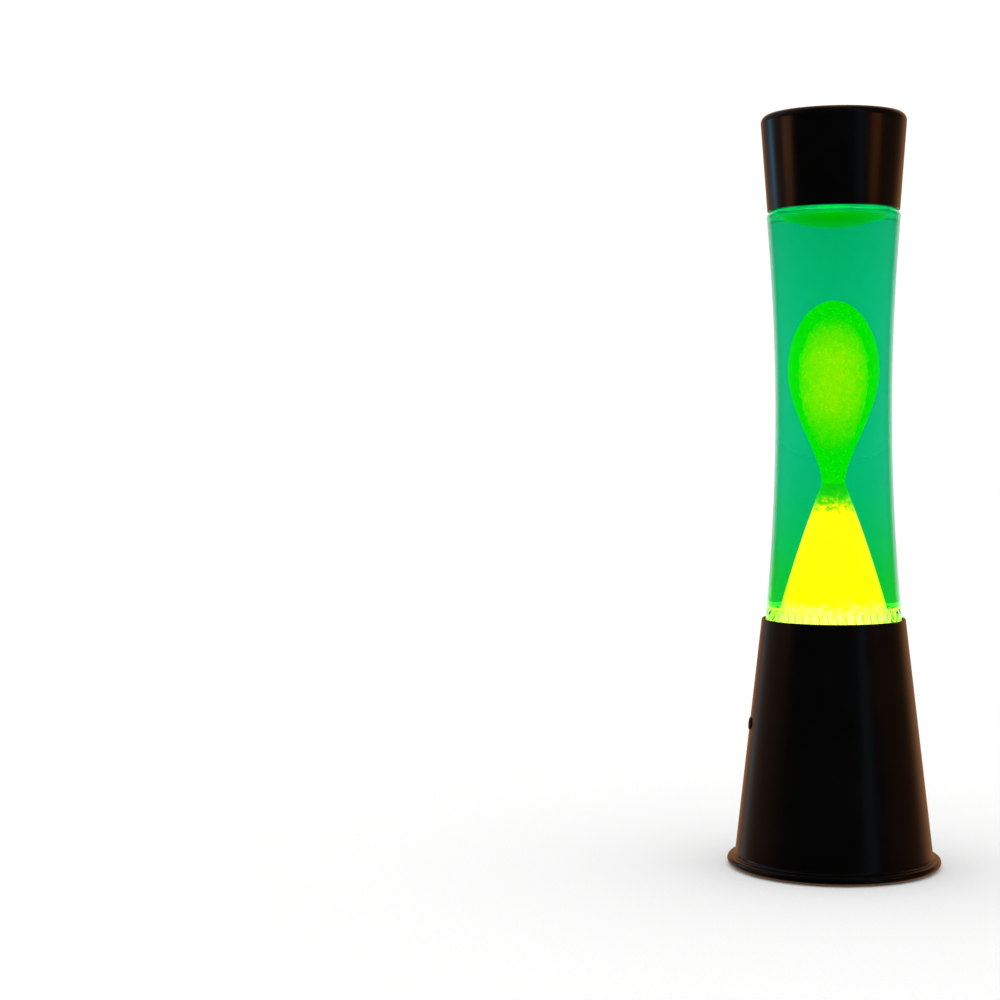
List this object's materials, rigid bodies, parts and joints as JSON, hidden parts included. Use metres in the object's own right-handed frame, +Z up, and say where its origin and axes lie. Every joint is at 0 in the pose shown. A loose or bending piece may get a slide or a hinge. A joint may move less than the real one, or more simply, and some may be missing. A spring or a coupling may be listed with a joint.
{
  "type": "lava lamp",
  "caption": "Lava lamp: a waisted bottle of wax and coloured liquid with a flared cap, on a conical spun base that holds a reflector bulb",
  "frame": {"origin": "centre of the circle the rubber feet stand on, on the table", "axes": "+Z up along the lamp's axis; -X towards the bushing of the supply lead; +Y to the back"},
  "size_m": [0.112, 0.112, 0.395],
  "materials": {
    "black_paint": "spun aluminium, satin black enamel",
    "black_plastic": "moulded black nylon",
    "white_plastic": "moulded thermoset, off-white",
    "zinc_plate": "zinc-plated pressed steel",
    "rubber": "moulded black rubber",
    "brass": "pressed brass",
    "nickel_brass": "nickel-plated brass",
    "bulb_glass": "silvered inside, frosted on the face",
    "clear_glass": "clear blown glass",
    "tungsten": "drawn tungsten wire",
    "liquid": "clear dyed water-based liquid, turquoise green",
    "wax": "yellow translucent wax, lit from below"
  },
  "bodies": {
    "base": {"base_shell": "black_paint", "seat_ring": "black_plastic", "bottom_plate": "zinc_plate", "plate_lugs": "zinc_plate", "plate_screws": "zinc_plate", "rubber_feet": "rubber", "cord_bushing": "black_plastic", "holder_nipple": "zinc_plate", "nipple_nuts": "zinc_plate", "nipple_washers": "zinc_plate", "holder_body": "white_plastic", "holder_thread": "brass", "centre_contact": "brass", "shell_contact": "brass", "terminal_blocks": "brass", "terminal_screws": "zinc_plate"},
    "bulb_contact": {"bulb_tip": "zinc_plate"},
    "bulb": {"bulb_insulator": "black_plastic", "bulb_cap": "nickel_brass", "bulb_glass": "bulb_glass", "bulb_stem": "clear_glass", "bulb_leads": "zinc_plate", "filament": "tungsten"},
    "bottle": {"glass_bottle": "clear_glass", "wire_coil": "zinc_plate", "liquid_fill": "liquid", "wax_mound": "wax", "wax_pool": "wax", "crown_cap": "zinc_plate", "crown_liner": "white_plastic"},
    "blob": {"wax_blob": "wax"},
    "cap": {"cap_shell": "black_paint"}
  },
  "joints": [
    {"name": "bottle_lift", "type": "slide", "parent": "base", "child": "bottle", "axis": [0, 0, 1], "range_m": [0, 0.06]},
    {"name": "cap_lift", "type": "slide", "parent": "bottle", "child": "cap", "axis": [0, 0, 1], "range_m": [0, 0.05]},
    {"name": "blob_rise", "type": "slide", "parent": "bottle", "child": "blob", "axis": [0, 0, 1], "range_m": [0, 0.034]},
    {"name": "bulb_rise", "type": "slide", "parent": "base", "child": "bulb_contact", "axis": [0, 0, 1], "range_m": [0, 0.00847]},
    {"name": "bulb_turn", "type": "hinge", "parent": "bulb_contact", "child": "bulb", "pos_m": [0, 0, 0.05], "axis": [0, 0, 1], "range_deg": [0, 1080]}
  ],
  "couplings": [
    {"joint": "bulb_turn", "follows": "bulb_rise", "rad_per_m": 2226.5}
  ]
}
